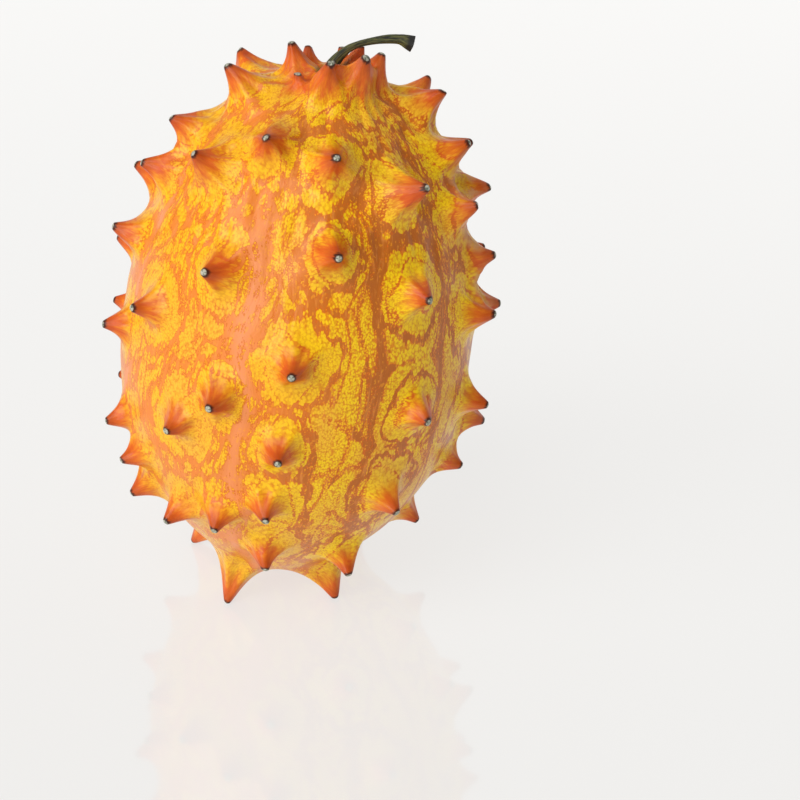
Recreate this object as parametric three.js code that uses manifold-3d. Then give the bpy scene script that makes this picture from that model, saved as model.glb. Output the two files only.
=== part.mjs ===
// Horned melon (Cucumis metuliferus): a whole ripe fruit, standing upright on the horns of its blossom end.
//
// Millimetres, +Z up. The fruit faces -Y, and +X is on its right. The origin lies on the table, under the
// middle of the fruit's footprint. The fruit's own frame has its origin at the blossom end's pole and +Z
// along the fruit's axis towards the stem; standingPose() carries that frame into the part's frame.
//
// Two pieces: "fruit" is the body with all its horns, grown as one, and "stem" is the dried stalk.

import * as THREE from "three";
import { mergeVertices } from "three/addons/utils/BufferGeometryUtils.js";
import Module from "manifold-3d";

const wasm = await Module();
wasm.setup();

const { clamp, degToRad, lerp } = THREE.MathUtils;

// ---- Driving dimensions -------------------------------------------------------------------------

const LENGTH = 126; // blossom end to stem end, without horns
const GIRTH_RADIUS = 40; // at the widest section, without horns
const WIDEST_AT = 0.46; // where that section lies, as a share of the length from the blossom end
const LOWER_TAPER = 1.22; // power of the sine below it: over 1 draws the blossom end in
const UPPER_TAPER = 1; // and above it: 1 is a plain ellipse
const LEAN = degToRad(6); // the axis leans to the right by this much
const BEND = 1.8; // the axis also curves to the right: the stem end is this far off a straight line
const GROUND_GAP = 1.4; // the blossom end's pole hangs this far above the table

// Horns stand in columns that run from the stem end to the blossom end. A column is given by its
// highest horn's longitude (0 faces the front, positive to the right) and polar angle (0 is the
// blossom end, 180 the stem end), the step down to the next horn, and how far it drifts to the
// right with each step, all in degrees. Two horns never stand closer than HORN_SPACING.
const HORN_COLUMNS = [
  { longitude: -88, highest: 155.5, step: 16.5, drift: -5 },
  { longitude: -87, highest: 131, step: 17.5, drift: 4.5 },
  { longitude: -58, highest: 139, step: 33, drift: 0 },
  { longitude: -32, highest: 149, step: 26.7, drift: 2.5 },
  { longitude: -41, highest: 88.5, step: 26, drift: 0 },
  { longitude: 4, highest: 145.5, step: 18.5, drift: -3 },
  { longitude: 38, highest: 141.5, step: 22.5, drift: -2 },
  { longitude: 64, highest: 129, step: 19.5, drift: 2 },
  { longitude: 77, highest: 142, step: 26, drift: 0 },
  { longitude: 88, highest: 154, step: 25, drift: -1 },
  { longitude: 108, highest: 131, step: 22, drift: 3 },
  { longitude: 131, highest: 144, step: 23, drift: 2 },
  { longitude: 154, highest: 136, step: 21, drift: 1 },
  { longitude: 177, highest: 141, step: 22, drift: 0 },
  { longitude: 201, highest: 134, step: 22, drift: -1 },
  { longitude: 225, highest: 148, step: 23, drift: -2 },
];
const LOWEST_IN_COLUMN = 44; // no column goes nearer the blossom end than this polar angle
const HORN_SPACING = 9;

const HORN_HEIGHT = 6.2; // over the lower and middle body
const SHOULDER_EXTRA = 3; // added to the horns of the shoulder
const SHOULDER = { polar: 148, width: 22 }; // where the shoulder is, and how far its effect reaches
const TILT_TO_STEM = degToRad(3); // horns bend from the surface's normal towards the stem

// Round the stem stands a crown of horns, tallest in front and at both sides.
const CROWN = { polar: 171, firstLongitude: -12, heights: [8.8, 7.4, 8.8, 4.4, 4.2, 4, 7.1, 3] };

// A usual horn's outline. All of its radii but the tip's widen with its height.
const HORN_ROOT = { radius: 6.8, sunk: 2.2 }; // the root disc lies this far under the skin
const HORN_SKIRT = { radius: 5.1, height: 0.25 }; // where the flare meets the skin
const HORN_FLANK = [{ radius: 2.8, at: 0.3 }, { radius: 1.5, at: 0.65 }]; // shares of its height
const HORN_TIP_RADIUS = 0.55;
const LEAST_GIRTH = 0.45; // width of a horn with no height, as a share of a usual one's

// Round the blossom end a ring of longer horns spreads and reaches the table.
const FEET = { count: 5, polar: 28, firstLongitude: -106, spread: 6.5 };
const FOOT_BITE = 0.6; // a foot's tip is worn off by this much, to a small flat

const SEED = 70289;
const WANDER = { longitude: 4, polar: 2, height: 0.7, lean: degToRad(6.5), sway: degToRad(13) }; // at most

const STEM_SEAT = { radius: 2.5, depth: 1.1 }; // round scar in which the stalk stands
const STEM_GAP = 0.3; // between the stalk and its scar, all round
const STEM_ROUTE = [
  [0, 0, -STEM_SEAT.depth + STEM_GAP],
  [0.1, 0, 1.2],
  [3.4, 0.4, 5.2],
  [8.8, 1.1, 7.1],
  [13.6, 1.5, 7.6],
  [16.2, 1.2, 7],
]; // centreline, from the stem end's pole, in the fruit's frame
const STEM_RADII = [1.8, 1.35, 0.95, 0.72, 0.78, 0.95, 1.1, 1.85]; // at equal steps along that line

const TABLE = { width: 300, depth: 60 }; // what lies below its top is cut away, which flattens the feet

const BODY_SIDES = 32;
const BODY_RINGS = 22;
const HORN_SIDES = 6;
const SEAT_SIDES = 16;
const STEM_SIDES = 8;
const STEM_STATIONS = 16;
const MERGE_WITHIN = 1e-4; // points closer than this are one

// ---- The body's surface, in the fruit's frame -----------------------------------------------------

// Distance from the axis, height and their rates of change, at a polar angle in radians.
function bodyProfile(polar) {
  const lower = polar < Math.PI / 2;
  const widest = LENGTH * WIDEST_AT;
  const reach = lower ? widest : LENGTH - widest;
  const power = lower ? LOWER_TAPER : UPPER_TAPER;
  const sine = Math.max(Math.sin(polar), 0);
  return {
    radius: GIRTH_RADIUS * sine ** power,
    height: widest - reach * Math.cos(polar),
    radiusRate: GIRTH_RADIUS * power * sine ** (power - 1) * Math.cos(polar),
    heightRate: reach * sine,
  };
}

// A point of the surface with its outward normal and the directions to the stem and to the right.
function surfaceAt(polar, longitude) {
  const { radius, height, radiusRate, heightRate } = bodyProfile(polar);
  const out = new THREE.Vector3(Math.sin(longitude), -Math.cos(longitude), 0);
  const up = new THREE.Vector3(0, 0, 1);
  const point = out.clone().multiplyScalar(radius).addScaledVector(up, height);
  const normal = out.clone().multiplyScalar(heightRate).addScaledVector(up, -radiusRate).normalize();
  const side = new THREE.Vector3(Math.cos(longitude), Math.sin(longitude), 0);
  return { point, normal, side, toStem: new THREE.Vector3().crossVectors(normal, side).negate() };
}

// ---- Where the horns stand --------------------------------------------------------------------------

// The Park-Miller generator: the same seed gives the same fruit every time.
function randomSource(seed) {
  const MODULUS = 2147483647;
  const WARM_UP = 3; // the first numbers of a small seed are alike
  let state = seed;
  const next = () => {
    state = (state * 16807) % MODULUS;
    return (2 * state) / MODULUS - 1; // from -1 to 1
  };
  for (let i = 0; i < WARM_UP; i++) next();
  return next;
}

// How tall a free horn is, before its random change, at a polar angle in degrees.
function hornHeight(polarDegrees) {
  const fromShoulder = (polarDegrees - SHOULDER.polar) / SHOULDER.width;
  return HORN_HEIGHT + SHOULDER_EXTRA * Math.exp(-fromShoulder * fromShoulder);
}

// A horn on the surface: its root, its axis and its height.
function plantHorn(polarDegrees, longitudeDegrees, height, random) {
  const polar = degToRad(polarDegrees + WANDER.polar * random());
  const longitude = degToRad(longitudeDegrees + WANDER.longitude * random());
  const { point, normal, side, toStem } = surfaceAt(polar, longitude);
  const taller = WANDER.height * random();
  const axis = normal
    .clone()
    .addScaledVector(toStem, Math.tan(TILT_TO_STEM + WANDER.lean * random()))
    .addScaledVector(side, Math.tan(WANDER.sway * random()))
    .normalize();
  return { root: point, axis, height: height + taller };
}

// A foot starts on the surface too, but grows outwards and down until it is in the table.
function plantFoot(polarDegrees, longitudeDegrees, toPart) {
  const longitude = degToRad(longitudeDegrees);
  const { point } = surfaceAt(degToRad(polarDegrees), longitude);
  const tip = point.clone().applyMatrix4(toPart);
  tip.x += FEET.spread * Math.sin(longitude);
  tip.y -= FEET.spread * Math.cos(longitude);
  tip.z = -FOOT_BITE;
  const axis = tip.applyMatrix4(toPart.clone().invert()).sub(point);
  const height = axis.length();
  return { root: point, axis: axis.normalize(), height };
}

function plantHorns(toPart) {
  const random = randomSource(SEED);
  const horns = CROWN.heights.map((height, i) => {
    const longitude = CROWN.firstLongitude + (360 * i) / CROWN.heights.length;
    return plantHorn(CROWN.polar, longitude, height, random);
  });
  for (const { longitude, highest, step, drift } of HORN_COLUMNS) {
    for (let row = 0; highest - row * step > LOWEST_IN_COLUMN; row++) {
      const polar = highest - row * step;
      const horn = plantHorn(polar, longitude + row * drift, hornHeight(polar), random);
      const hasRoom = horns.every(({ root }) => root.distanceTo(horn.root) > HORN_SPACING);
      if (hasRoom) horns.push(horn);
    }
  }
  for (let i = 0; i < FEET.count; i++) {
    horns.push(plantFoot(FEET.polar, FEET.firstLongitude + (360 * i) / FEET.count, toPart));
  }
  return horns;
}

// ---- From the fruit's frame to the part's frame -----------------------------------------------------

// The fruit isn't quite straight: it curves to the right, more and more towards the stem end.
function bend(point) {
  point.x += BEND * clamp(point.z / LENGTH, 0, 1) ** 3;
  return point;
}

// It leans about its blossom end, and hangs a little above the table.
function standingPose(x = 0, y = 0) {
  return new THREE.Matrix4().makeRotationY(LEAN).setPosition(x, y, GROUND_GAP);
}

const tipOf = ({ root, axis, height }) => bend(root.clone().addScaledVector(axis, height));

// The horns' tips bound the footprint, and its middle goes to the origin.
function centredPose() {
  const pose = standingPose();
  const tips = plantHorns(pose).map((horn) => tipOf(horn).applyMatrix4(pose));
  const middle = new THREE.Box3().setFromPoints(tips).getCenter(new THREE.Vector3());
  return standingPose(-middle.x, -middle.y);
}

// ---- Solids -------------------------------------------------------------------------------------------

const AXIS_UP = new THREE.Matrix4().makeRotationX(Math.PI / 2); // a lathe turns round Y: stand it on Z

// A solid of revolution round +Z from [radius, height] pairs, which start and end on the axis.
function turned(profile, sides) {
  const points = profile.map(([radius, height]) => new THREE.Vector2(radius, height));
  return new THREE.LatheGeometry(points, sides).applyMatrix4(AXIS_UP);
}

function bent(geometry) {
  const vertices = geometry.attributes.position;
  for (let i = 0; i < vertices.count; i++) {
    vertices.setXYZ(i, ...bend(new THREE.Vector3().fromBufferAttribute(vertices, i)));
  }
  return geometry;
}

function toSolid(geometry) {
  const bare = geometry.clone().deleteAttribute("normal").deleteAttribute("uv");
  const merged = mergeVertices(bare, MERGE_WITHIN);
  return new wasm.Manifold(
    new wasm.Mesh({
      numProp: 3,
      vertProperties: new Float32Array(merged.attributes.position.array),
      triVerts: new Uint32Array(merged.index.array),
    }),
  );
}

function toMesh(name, solid, look) {
  const { vertProperties, triVerts } = solid.getMesh();
  const geometry = new THREE.BufferGeometry();
  geometry.setAttribute("position", new THREE.BufferAttribute(vertProperties, 3));
  geometry.setIndex(new THREE.BufferAttribute(triVerts, 1));
  geometry.computeVertexNormals();
  const mesh = new THREE.Mesh(geometry, new THREE.MeshStandardMaterial(look));
  mesh.name = name;
  return mesh;
}

function bodySolid() {
  const profile = [];
  for (let i = 0; i <= BODY_RINGS; i++) {
    const { radius, height } = bodyProfile((Math.PI * i) / BODY_RINGS);
    profile.push([i % BODY_RINGS ? radius : 0, height]);
  }
  return toSolid(bent(turned(profile, BODY_SIDES)));
}

// A horn is a wide flare that draws in to a slender tip. Its root disc lies under the skin.
function hornSolid({ root, axis, height }) {
  const girth = lerp(LEAST_GIRTH, 1, height / HORN_HEIGHT);
  const profile = [
    [0, -HORN_ROOT.sunk],
    [HORN_ROOT.radius * girth, -HORN_ROOT.sunk],
    [HORN_SKIRT.radius * girth, HORN_SKIRT.height],
    ...HORN_FLANK.map(({ radius, at }) => [radius * girth, at * height]),
    [HORN_TIP_RADIUS, height],
    [0, height],
  ];
  const upright = new THREE.Quaternion().setFromUnitVectors(new THREE.Vector3(0, 0, 1), axis);
  const place = new THREE.Matrix4().compose(root, upright, new THREE.Vector3(1, 1, 1));
  return toSolid(bent(turned(profile, HORN_SIDES).applyMatrix4(place)));
}

function fruitSolid(toPart) {
  const { radius, depth } = STEM_SEAT;
  const seat = turned([[0, -depth], [radius, -depth], [radius, depth], [0, depth]], SEAT_SIDES);
  seat.translate(0, 0, LENGTH);
  const table = new THREE.BoxGeometry(TABLE.width, TABLE.width, TABLE.depth);
  table.translate(0, 0, -TABLE.depth / 2);
  const grown = wasm.Manifold.union([bodySolid(), ...plantHorns(toPart).map(hornSolid)]);
  const standing = grown.subtract(toSolid(bent(seat))).transform(toPart.elements);
  return standing.subtract(toSolid(table));
}

// The stalk is a straight lathe of changing radius, bent along its centreline.
function stemSolid(toPart) {
  const line = new THREE.CatmullRomCurve3(STEM_ROUTE.map((p) => new THREE.Vector3(...p)));
  const profile = [[0, 0]];
  for (let i = 0; i <= STEM_STATIONS; i++) {
    const along = i / STEM_STATIONS;
    const place = along * (STEM_RADII.length - 1);
    const before = Math.min(Math.floor(place), STEM_RADII.length - 2);
    profile.push([lerp(STEM_RADII[before], STEM_RADII[before + 1], place - before), along]);
  }
  profile.push([0, 1]);
  const geometry = turned(profile, STEM_SIDES);
  const vertices = geometry.attributes.position;
  for (let i = 0; i < vertices.count; i++) {
    const along = clamp(vertices.getZ(i), 0, 1);
    const ahead = line.getTangentAt(along);
    const across = new THREE.Vector3(0, 1, 0);
    const over = new THREE.Vector3().crossVectors(across, ahead).normalize();
    const point = line.getPointAt(along);
    point.addScaledVector(over, vertices.getX(i)).addScaledVector(across, vertices.getY(i));
    vertices.setXYZ(i, point.x, point.y, point.z + LENGTH);
  }
  return toSolid(bent(geometry)).transform(toPart.elements);
}

// ---- The part -----------------------------------------------------------------------------------------

const toPart = centredPose();
const part = new THREE.Group();
part.add(toMesh("fruit", fruitSolid(toPart), { color: 0xf0902c, roughness: 0.42, metalness: 0 }));
part.add(toMesh("stem", stemSolid(toPart), { color: 0x5d5a34, roughness: 0.8, metalness: 0 }));

export default part;
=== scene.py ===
# %% [markdown]
# # A horned melon
#
# A horned melon is a ripe fruit a little longer than a hand is wide: an orange and yellow egg with
# a waxy skin, set all over with blunt horns, and with two centimetres of dried stalk left on top.
# This lesson dresses a plain model of one, whose size and place are already fixed. Nothing here
# moves or resizes that model: each finished piece is made in the same place and shown instead.
#
# The fruit and its horns grew as one piece, so they are made as one closed mesh. The stalk is a
# second one. Everything is worked out in millimetres and turned into Blender's metres at the end.

# %% Load the fixed model
import math

import bpy
import numpy as np
from mathutils import Euler, Matrix, Vector, noise


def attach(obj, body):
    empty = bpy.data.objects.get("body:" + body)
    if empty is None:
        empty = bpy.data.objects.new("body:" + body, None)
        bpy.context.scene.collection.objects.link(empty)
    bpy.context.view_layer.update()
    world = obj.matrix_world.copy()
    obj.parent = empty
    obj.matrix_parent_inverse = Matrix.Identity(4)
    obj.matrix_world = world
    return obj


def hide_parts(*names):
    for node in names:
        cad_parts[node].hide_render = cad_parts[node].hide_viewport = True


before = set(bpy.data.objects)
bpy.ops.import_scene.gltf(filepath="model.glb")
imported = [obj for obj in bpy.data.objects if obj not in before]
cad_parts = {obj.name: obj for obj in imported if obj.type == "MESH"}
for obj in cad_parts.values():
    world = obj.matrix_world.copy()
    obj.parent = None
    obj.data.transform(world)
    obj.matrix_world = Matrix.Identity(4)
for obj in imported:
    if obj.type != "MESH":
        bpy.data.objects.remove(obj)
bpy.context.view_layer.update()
bpy.ops.object.select_all(action="DESELECT")

MM = 0.001
TINY, FAR = 1e-9, 1e9
scene = bpy.context.scene
print("nodes:", sorted(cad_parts))

# %% [markdown]
# ## The body's surface
#
# Take away the horns and the body is a solid of revolution. Its outline could be drawn as a curve
# and spun, but a formula does it here, because the horns have to know where the surface is and
# which way it faces. The polar angle runs from 0 at the blossom end to 180 degrees at the stem
# end. A sine gives an ellipse, and a power above 1 draws the lower end in to a blunt cone.

# %% The body's surface
LENGTH = 126
GIRTH_RADIUS = 40
WIDEST_AT = 0.46
LOWER_TAPER, UPPER_TAPER = 1.22, 1
LOWER_LENGTH = LENGTH * WIDEST_AT
UPPER_LENGTH = LENGTH - LOWER_LENGTH
UP = np.array([0.0, 0.0, 1.0])


def surface_at(polar, longitude):
    """Point, outward normal, and the directions to the right and to the stem, for angles in radians."""
    polar, longitude = np.asarray(polar, float), np.asarray(longitude, float)
    lower = polar < math.pi / 2
    reach = np.where(lower, LOWER_LENGTH, UPPER_LENGTH)
    power = np.where(lower, LOWER_TAPER, UPPER_TAPER)
    sine = np.maximum(np.sin(polar), TINY)
    radius = GIRTH_RADIUS * sine**power
    height = LOWER_LENGTH - reach * np.cos(polar)
    radius_rate = GIRTH_RADIUS * power * sine ** (power - 1) * np.cos(polar)
    height_rate = reach * sine
    steepness = np.hypot(radius_rate, height_rate)
    out = np.stack([np.sin(longitude), -np.cos(longitude), 0 * polar], axis=-1)
    side = np.stack([np.cos(longitude), np.sin(longitude), 0 * polar], axis=-1)
    point = out * radius[..., None] + UP * height[..., None]
    normal = out * (height_rate / steepness)[..., None] - UP * (radius_rate / steepness)[..., None]
    return point, normal, side, np.cross(side, normal)


belt = surface_at(math.pi / 2, 0)[0]
print("widest", 2 * GIRTH_RADIUS, "mm, at", round(float(belt[2]), 1), "mm from the blossom end")

# %% [markdown]
# ## Standing it up
#
# The fruit is neither straight nor plumb. Its upper half bends a little to the right, its axis
# leans the same way, and it rests on the horns of its blossom end. Everything is shaped in the
# fruit's own frame first, where its axis is straight and upright. One small function then bends
# the points, one carries them to the scene's frame, and one brings them back.

# %% Standing it up
LEAN = math.radians(6)
BEND, BEND_POWER = 1.8, 3
GROUND_GAP = 1.4
lean_turn = np.array(Euler((0, LEAN, 0)).to_matrix())


def bend(points):
    """Moves points to the right, more and more towards the stem end."""
    bent = np.array(points, float)
    bent[..., 0] += BEND * np.clip(bent[..., 2] / LENGTH, 0, 1) ** BEND_POWER
    return bent


def stand(points, offset=(0, 0)):
    """Carries points from the fruit's own frame to the scene's."""
    return np.asarray(points) @ lean_turn.T + [*offset, GROUND_GAP]


def lay_back(points):
    """Carries points from the scene's frame to the fruit's own."""
    return (np.asarray(points) - [0, 0, GROUND_GAP]) @ lean_turn


print("the stem end stands", round(float(stand([0, 0, LENGTH])[2]), 1), "mm above the table")

# %% [markdown]
# ## Numbers that look random
#
# No two horns are alike, so each is moved, tilted and sized by random numbers, which have to be
# the same in every run. The Park-Miller generator is four lines of arithmetic and gives the same
# numbers in any language.

# %% Numbers that look random
SEED, SKIPPED = 70289, 3
MULTIPLIER, MODULUS = 16807, 2147483647


def random_numbers(state):
    """Park-Miller numbers from -1 to 1."""
    while True:
        state = state * MULTIPLIER % MODULUS
        yield 2 * state / MODULUS - 1


draw = random_numbers(SEED)
for _ in range(SKIPPED):
    next(draw)  # the first numbers of a small seed are alike
print("random numbers from seed", SEED)

# %% [markdown]
# ## One horn, one foot
#
# A horn is described by its root on the body, the direction it points in and its height. It stands
# nearly square to the skin, tilted a little towards the stem. The lowest horns are the feet: they
# are longer, and each is aimed at its own place on the table, just below the top, where its tip is
# cut off flat.

# %% One horn, one foot
WANDER = {"longitude": 4, "polar": 2, "height": 0.7, "lean": 6.5, "sway": 13}
TILT_TO_STEM = 3
FOOT_SPREAD, FOOT_BITE = 6.5, 0.6


def unit(vector):
    return vector / np.linalg.norm(vector)


def plant_horn(polar, longitude, height, draw):
    """A horn's root, axis and height. Angles are in degrees."""
    polar += WANDER["polar"] * next(draw)
    longitude += WANDER["longitude"] * next(draw)
    point, normal, side, to_stem = surface_at(math.radians(polar), math.radians(longitude))
    height += WANDER["height"] * next(draw)
    lean = math.tan(math.radians(TILT_TO_STEM + WANDER["lean"] * next(draw)))
    sway = math.tan(math.radians(WANDER["sway"] * next(draw)))
    return {"root": point, "axis": unit(normal + lean * to_stem + sway * side), "height": height,
            "side": side, "to_stem": to_stem, "kind": "horn"}


def plant_foot(polar, longitude):
    """A horn that spreads outwards and down into the table."""
    out = np.array([math.sin(math.radians(longitude)), -math.cos(math.radians(longitude)), 0])
    point, _, side, to_stem = surface_at(math.radians(polar), math.radians(longitude))
    tip = stand(point) + FOOT_SPREAD * out
    tip[2] = -FOOT_BITE
    reach = lay_back(tip) - point
    return {"root": point, "axis": unit(reach), "height": float(np.linalg.norm(reach)),
            "side": side, "to_stem": to_stem, "kind": "foot"}


print("a horn wanders by up to", WANDER["longitude"], "degrees round the fruit")

# %% [markdown]
# ## Where the horns stand
#
# Horns look scattered, but they grow in rough columns from stem to blossom end, so a rule places
# them: each column has a first horn, a step down and a sideways drift. A horn too close to one
# already there is left out. Those on the shoulder are taller. A crown of eight horns rings the
# stem, and a ring of five feet stands on the table.

# %% Where the horns stand
HORN_COLUMNS = [  # longitude and polar angle of the highest horn, step down, drift to the right
    (-88, 155.5, 16.5, -5), (-87, 131, 17.5, 4.5), (-58, 139, 33, 0), (-32, 149, 26.7, 2.5),
    (-41, 88.5, 26, 0), (4, 145.5, 18.5, -3), (38, 141.5, 22.5, -2), (64, 129, 19.5, 2),
    (77, 142, 26, 0), (88, 154, 25, -1), (108, 131, 22, 3), (131, 144, 23, 2),
    (154, 136, 21, 1), (177, 141, 22, 0), (201, 134, 22, -1), (225, 148, 23, -2),
]
LOWEST_IN_COLUMN = 44
HORN_SPACING = 9
HORN_HEIGHT, SHOULDER_EXTRA = 6.2, 3
SHOULDER_POLAR, SHOULDER_WIDTH = 148, 22
CROWN_POLAR, CROWN_FIRST = 171, -12
CROWN_HEIGHTS = [8.8, 7.4, 8.8, 4.4, 4.2, 4, 7.1, 3]
FOOT_COUNT, FOOT_POLAR, FOOT_FIRST = 5, 28, -106

horns = []
for i, height in enumerate(CROWN_HEIGHTS):
    longitude = CROWN_FIRST + 360 * i / len(CROWN_HEIGHTS)
    horns.append(plant_horn(CROWN_POLAR, longitude, height, draw) | {"kind": "crown"})
for longitude, highest, step_down, drift in HORN_COLUMNS:
    rows = math.ceil((highest - LOWEST_IN_COLUMN) / step_down)
    for row in range(rows):
        polar = highest - row * step_down
        shoulder = math.exp(-(((polar - SHOULDER_POLAR) / SHOULDER_WIDTH) ** 2))
        horn = plant_horn(polar, longitude + row * drift, HORN_HEIGHT + SHOULDER_EXTRA * shoulder, draw)
        if all(np.linalg.norm(other["root"] - horn["root"]) > HORN_SPACING for other in horns):
            horns.append(horn)
for i in range(FOOT_COUNT):
    horns.append(plant_foot(FOOT_POLAR, FOOT_FIRST + 360 * i / FOOT_COUNT))

tips = stand(bend([horn["root"] + horn["axis"] * horn["height"] for horn in horns]))
OFFSET = -(tips.min(axis=0) + tips.max(axis=0))[:2] / 2  # the footprint's middle is the origin
print(len(horns), "horns; the blossom end stands at", OFFSET.round(2), "mm")

# %% [markdown]
# ## A ball with fine spots
#
# The fruit starts as an ico sphere, because its triangles are nearly equal all over, with no
# crowded poles. A horn's tip needs far smaller triangles than bare skin. Making the whole ball that
# fine would cost millions, so only the faces near the horns' roots and the two scars are selected
# and subdivided, twice, and each new point is pushed back out to the ball.

# %% A ball with fine spots
BALL_SUBDIVISIONS = 7
FINE_REACH, FINEST_REACH = 4.2, 1.7
roots = np.array([horn["root"] for horn in horns])
poles = np.array([[0, 0, 0], [0, 0, LENGTH]])


def read_points(mesh):
    flat = np.empty(len(mesh.vertices) * 3, np.float32)
    mesh.vertices.foreach_get("co", flat)
    return flat.reshape(-1, 3).astype(float)


def write_points(mesh, points):
    mesh.vertices.foreach_set("co", np.asarray(points, np.float32).ravel())
    mesh.update()


def unit_rows(rows):
    return rows / np.linalg.norm(rows, axis=1, keepdims=True)


def ball_angles(points):
    """Polar angle and longitude of points on the unit ball."""
    return np.arccos(np.clip(-points[:, 2], -1, 1)), np.arctan2(points[:, 0], -points[:, 1])


def nearest(points, targets):
    """Distance to the nearest target, and its number."""
    best = np.full(len(points), FAR)
    which = np.zeros(len(points), int)
    for i, target in enumerate(targets):
        distance = np.linalg.norm(points - target, axis=1)
        closer = distance < best
        best[closer] = distance[closer]
        which[closer] = i
    return best, which


def refine(fruit, reach):
    """Subdivides the faces that lie within reach, in mm, of a root or a pole."""
    mesh = fruit.data
    on_body = surface_at(*ball_angles(read_points(mesh)))[0]
    close = nearest(on_body, np.vstack([roots, poles]))[0] < reach
    corners = np.empty(len(mesh.loops), np.int32)
    mesh.loops.foreach_get("vertex_index", corners)
    chosen = close[corners].reshape(-1, 3).any(axis=1)
    bpy.ops.object.mode_set(mode="EDIT")
    bpy.ops.mesh.select_mode(type="FACE")
    bpy.ops.mesh.select_all(action="DESELECT")
    bpy.ops.object.mode_set(mode="OBJECT")
    mesh.polygons.foreach_set("select", chosen)
    bpy.ops.object.mode_set(mode="EDIT")
    bpy.ops.mesh.subdivide(number_cuts=1)
    bpy.ops.mesh.select_all(action="SELECT")
    bpy.ops.mesh.quads_convert_to_tris(quad_method="BEAUTY", ngon_method="BEAUTY")
    bpy.ops.object.mode_set(mode="OBJECT")
    write_points(mesh, unit_rows(read_points(mesh)))


bpy.ops.mesh.primitive_ico_sphere_add(subdivisions=BALL_SUBDIVISIONS, radius=1, location=(0, 0, 0))
fruit = bpy.context.object
fruit.name = "horned_melon"
refine(fruit, FINE_REACH)
refine(fruit, FINEST_REACH)
print("ball:", len(fruit.data.polygons), "triangles")

# %% [markdown]
# ## Drawing the points in to the horns
#
# A horn is a tall narrow shape on a small patch of skin. If its points were only lifted, the
# triangles on its steep flanks would be stretched into slivers. So the points round each root are
# first drawn together along the skin, closest in the middle, and lifted after that. Each horn has
# its own patch, no wider than half the way to its neighbour, so that the patches never overlap.

# %% Drawing the points in to the horns
PATCH_RADIUS = 6.5
DRAWING_IN = 1.7
LEAST_SHARE = 1e-6

spacing = np.linalg.norm(roots[:, None] - roots[None], axis=2) + np.eye(len(roots)) * FAR
patch = np.minimum(PATCH_RADIUS, spacing.min(axis=1) / 2)

below_widest = LOWER_LENGTH - roots[:, 2]
root_polar = np.arccos(below_widest / np.where(below_widest > 0, LOWER_LENGTH, UPPER_LENGTH))
root_longitude = np.arctan2(roots[:, 0], -roots[:, 1])
on_ball = np.stack([np.sin(root_polar) * np.sin(root_longitude),
                    -np.sin(root_polar) * np.cos(root_longitude), -np.cos(root_polar)], axis=1)

ball = read_points(fruit.data)
distance, which = nearest(surface_at(*ball_angles(ball))[0], roots)
share_of_patch = np.clip(distance / patch[which], LEAST_SHARE, 1)
drawn = on_ball[which] + (ball - on_ball[which]) * (share_of_patch ** (DRAWING_IN - 1))[:, None]
ball = unit_rows(drawn)
body, normal, side, to_stem = surface_at(*ball_angles(ball))
print("patches from", round(float(patch.min()), 1), "to", round(float(patch.max()), 1), "mm")

# %% [markdown]
# ## Raising the horns
#
# Cut through the middle, a horn is a bell: a rounded tip, steep flanks, and a foot that flares out
# until it is lost in the skin. A few soft folds run down it, a different number on each. It could
# be lathed and joined on, but that leaves a seam. Here it is a formula of the distance to the
# horn's root, and what neighbouring horns raise adds up, as it does on the fruit. "below_tip" and
# "flank" are kept for the colours: how far a point is under its horn's tip, and its place on the
# horn's unrolled flank.

# %% Raising the horns
HABIT_SEED = 5
TIP_RADIUS, TIP_ROUNDING, BELL_POWER = 0.7, 0.03, 1.3
BELL_WIDTH, CROWN_WIDTH, WIDEST_BELL = 0.36, 0.25, 3.3
FEWEST_FOLDS, MOST_FOLDS = 3, 5
FOLD_DEPTH, FINE_FOLD = 0.1, 0.5
FOLDS_START, FOLDS_FULL = 0.4, 4
BOW = 0.45
USUAL_HEIGHT, ON_BARE_SKIN = 6.5, 20.0
FLANK_SCALE, FLANKS_APART = 0.12, 7.7
habit = np.random.default_rng(HABIT_SEED)


def smooth(low, high, value):
    """0 at low and before it, 1 at high and past it, and an S-curve between. Low may be the greater."""
    t = np.clip((value - low) / (high - low), 0, 1)
    return t * t * (3 - 2 * t)


lift = np.zeros_like(body)
raised = np.zeros(len(body))
below_tip = np.full(len(body), ON_BARE_SKIN)
flank = np.zeros_like(body)
for i, horn in enumerate(horns):
    gap = body - horn["root"]
    reach = np.linalg.norm(gap, axis=1)
    turn = np.arctan2(gap @ horn["side"], gap @ horn["to_stem"])
    folds, phase = habit.integers(FEWEST_FOLDS, MOST_FOLDS + 1), habit.uniform(0, 2 * math.pi)
    bow_turn = habit.uniform(0, 2 * math.pi)
    fold = np.cos(folds * turn + phase) + FINE_FOLD * np.cos((folds + 2) * turn - phase)
    folded = reach * (1 + FOLD_DEPTH * fold * smooth(FOLDS_START, FOLDS_FULL, reach))
    width = horn["height"] * (CROWN_WIDTH if horn["kind"] == "crown" else BELL_WIDTH)
    off_tip = np.maximum(folded - TIP_RADIUS, 0) / min(width, WIDEST_BELL)
    bell = horn["height"] * np.exp(-(off_tip**BELL_POWER))
    bell *= 1 - TIP_ROUNDING * np.minimum(folded / TIP_RADIUS, 1) ** 2
    risen = bell / horn["height"]
    bow = BOW * np.sin(math.pi * np.clip(risen, 0, 1))
    bow_axis = math.cos(bow_turn) * horn["side"] + math.sin(bow_turn) * horn["to_stem"]
    lift += bell[:, None] * horn["axis"] + bow[:, None] * bow_axis
    raised = np.maximum(raised, bell)
    mine = which == i
    below_tip[mine] = (1 - risen)[mine] * max(horn["height"], USUAL_HEIGHT)
    round_and_up = [np.sin(turn), np.cos(turn), FLANK_SCALE * bell + FLANKS_APART * i]
    flank[mine] = np.stack(round_and_up, axis=1)[mine]
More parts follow.
